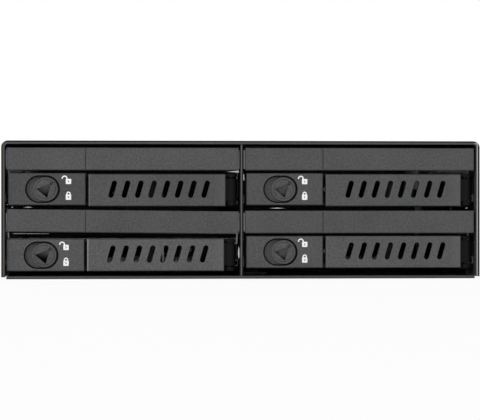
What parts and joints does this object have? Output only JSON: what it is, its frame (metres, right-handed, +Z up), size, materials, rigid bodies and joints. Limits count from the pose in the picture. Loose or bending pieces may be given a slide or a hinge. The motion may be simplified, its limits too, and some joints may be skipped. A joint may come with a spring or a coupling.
{
  "type": "hot swap drive cage",
  "caption": "Flat sheet-metal cage for a half-height drive bay, with pull-out drive trays that have vented ejector levers and key-locked slide buttons, and rear fans.",
  "frame": {"origin": "centre of the underside, under the middle of the cage's length and width", "axes": "+Z up, the front with the trays faces -Y, +X to the right seen from the front"},
  "size_m": [0.146, 0.145, 0.042],
  "materials": {
    "cage_paint": "matte powder coat",
    "rivet_paint": "matte powder coat",
    "face_grey": "fine matte texture",
    "knob_grey": "matte",
    "sled_steel": "zinc-plated sheet",
    "spring_steel": "bright rolled",
    "bright_steel": "plated",
    "board": "solder mask",
    "socket_plastic": "moulded",
    "fan_plastic": "moulded"
  },
  "bodies": {
    "cage": {"cover_shell": "cage_paint", "bottom_pan": "cage_paint", "centre_divider": "cage_paint", "rear_panel": "cage_paint", "backplane_board": "board", "drive_sockets": "socket_plastic", "data_ports": "socket_plastic", "power_ports": "socket_plastic", "board_parts": "socket_plastic", "board_screws": "bright_steel", "shell_rivets": "rivet_paint", "fan_frame_left": "fan_plastic", "fan_frame_right": "fan_plastic", "fan_screws": "bright_steel"},
    "fan_rotor_left": {"fan_rotor_left": "fan_plastic"},
    "fan_rotor_right": {"fan_rotor_right": "fan_plastic"},
    "tray_upper_left": {"sled_upper_left": "sled_steel", "front_block_upper_left": "face_grey", "face_strip_upper_left": "face_grey", "hinge_pin_upper_left": "bright_steel", "lever_spring_upper_left": "spring_steel", "release_spring_upper_left": "spring_steel", "leaf_springs_upper_left": "spring_steel", "block_screws_upper_left": "bright_steel"},
    "lever_upper_left": {"lever_upper_left": "face_grey"},
    "slider_upper_left": {"release_slider_upper_left": "knob_grey"},
    "lock_upper_left": {"lock_core_upper_left": "knob_grey"},
    "tray_upper_right": {"sled_upper_right": "sled_steel", "front_block_upper_right": "face_grey", "face_strip_upper_right": "face_grey", "hinge_pin_upper_right": "bright_steel", "lever_spring_upper_right": "spring_steel", "release_spring_upper_right": "spring_steel", "leaf_springs_upper_right": "spring_steel", "block_screws_upper_right": "bright_steel"},
    "lever_upper_right": {"lever_upper_right": "face_grey"},
    "slider_upper_right": {"release_slider_upper_right": "knob_grey"},
    "lock_upper_right": {"lock_core_upper_right": "knob_grey"},
    "tray_lower_left": {"sled_lower_left": "sled_steel", "front_block_lower_left": "face_grey", "face_strip_lower_left": "face_grey", "hinge_pin_lower_left": "bright_steel", "lever_spring_lower_left": "spring_steel", "release_spring_lower_left": "spring_steel", "leaf_springs_lower_left": "spring_steel", "block_screws_lower_left": "bright_steel"},
    "lever_lower_left": {"lever_lower_left": "face_grey"},
    "slider_lower_left": {"release_slider_lower_left": "knob_grey"},
    "lock_lower_left": {"lock_core_lower_left": "knob_grey"},
    "tray_lower_right": {"sled_lower_right": "sled_steel", "front_block_lower_right": "face_grey", "face_strip_lower_right": "face_grey", "hinge_pin_lower_right": "bright_steel", "lever_spring_lower_right": "spring_steel", "release_spring_lower_right": "spring_steel", "leaf_springs_lower_right": "spring_steel", "block_screws_lower_right": "bright_steel"},
    "lever_lower_right": {"lever_lower_right": "face_grey"},
    "slider_lower_right": {"release_slider_lower_right": "knob_grey"},
    "lock_lower_right": {"lock_core_lower_right": "knob_grey"}
  },
  "joints": [
    {"name": "fan_spin_left", "type": "hinge", "parent": "cage", "child": "fan_rotor_left", "pos_m": [-0.0508, 0.0645, 0.0209], "axis": [0, 1, 0], "continuous": true},
    {"name": "fan_spin_right", "type": "hinge", "parent": "cage", "child": "fan_rotor_right", "pos_m": [0.0508, 0.0645, 0.0209], "axis": [0, 1, 0], "continuous": true},
    {"name": "tray_slide_upper_left", "type": "slide", "parent": "cage", "child": "tray_upper_left", "axis": [0, -1, 0], "range_m": [0, 0.105]},
    {"name": "lever_swing_upper_left", "type": "hinge", "parent": "tray_upper_left", "child": "lever_upper_left", "pos_m": [-0.00325, -0.0682, 0.02728], "axis": [0, 0, 1], "range_deg": [0, 68]},
    {"name": "release_slide_upper_left", "type": "slide", "parent": "tray_upper_left", "child": "slider_upper_left", "axis": [-1, 0, 0], "range_m": [0, 0.0022], "stiffness_N_per_m": 150, "deforming": ["release_spring_upper_left"]},
    {"name": "lock_turn_upper_left", "type": "hinge", "parent": "slider_upper_left", "child": "lock_upper_left", "pos_m": [-0.05965, -0.0712, 0.02728], "axis": [0, 1, 0], "range_deg": [0, 90]},
    {"name": "tray_slide_upper_right", "type": "slide", "parent": "cage", "child": "tray_upper_right", "axis": [0, -1, 0], "range_m": [0, 0.105]},
    {"name": "lever_swing_upper_right", "type": "hinge", "parent": "tray_upper_right", "child": "lever_upper_right", "pos_m": [0.06915, -0.0682, 0.02728], "axis": [0, 0, 1], "range_deg": [0, 68]},
    {"name": "release_slide_upper_right", "type": "slide", "parent": "tray_upper_right", "child": "slider_upper_right", "axis": [-1, 0, 0], "range_m": [0, 0.0022], "stiffness_N_per_m": 150, "deforming": ["release_spring_upper_right"]},
    {"name": "lock_turn_upper_right", "type": "hinge", "parent": "slider_upper_right", "child": "lock_upper_right", "pos_m": [0.01275, -0.0712, 0.02728], "axis": [0, 1, 0], "range_deg": [0, 90]},
    {"name": "tray_slide_lower_left", "type": "slide", "parent": "cage", "child": "tray_lower_left", "axis": [0, -1, 0], "range_m": [0, 0.105]},
    {"name": "lever_swing_lower_left", "type": "hinge", "parent": "tray_lower_left", "child": "lever_lower_left", "pos_m": [-0.0037, -0.0682, 0.00722], "axis": [0, 0, 1], "range_deg": [0, 68]},
    {"name": "release_slide_lower_left", "type": "slide", "parent": "tray_lower_left", "child": "slider_lower_left", "axis": [-1, 0, 0], "range_m": [0, 0.0022], "stiffness_N_per_m": 150, "deforming": ["release_spring_lower_left"]},
    {"name": "lock_turn_lower_left", "type": "hinge", "parent": "slider_lower_left", "child": "lock_lower_left", "pos_m": [-0.0601, -0.0712, 0.00722], "axis": [0, 1, 0], "range_deg": [0, 90]},
    {"name": "tray_slide_lower_right", "type": "slide", "parent": "cage", "child": "tray_lower_right", "axis": [0, -1, 0], "range_m": [0, 0.105]},
    {"name": "lever_swing_lower_right", "type": "hinge", "parent": "tray_lower_right", "child": "lever_lower_right", "pos_m": [0.06915, -0.0682, 0.00808], "axis": [0, 0, 1], "range_deg": [0, 68]},
    {"name": "release_slide_lower_right", "type": "slide", "parent": "tray_lower_right", "child": "slider_lower_right", "axis": [-1, 0, 0], "range_m": [0, 0.0022], "stiffness_N_per_m": 150, "deforming": ["release_spring_lower_right"]},
    {"name": "lock_turn_lower_right", "type": "hinge", "parent": "slider_lower_right", "child": "lock_lower_right", "pos_m": [0.01275, -0.0712, 0.00808], "axis": [0, 1, 0], "range_deg": [0, 90]}
  ]
}
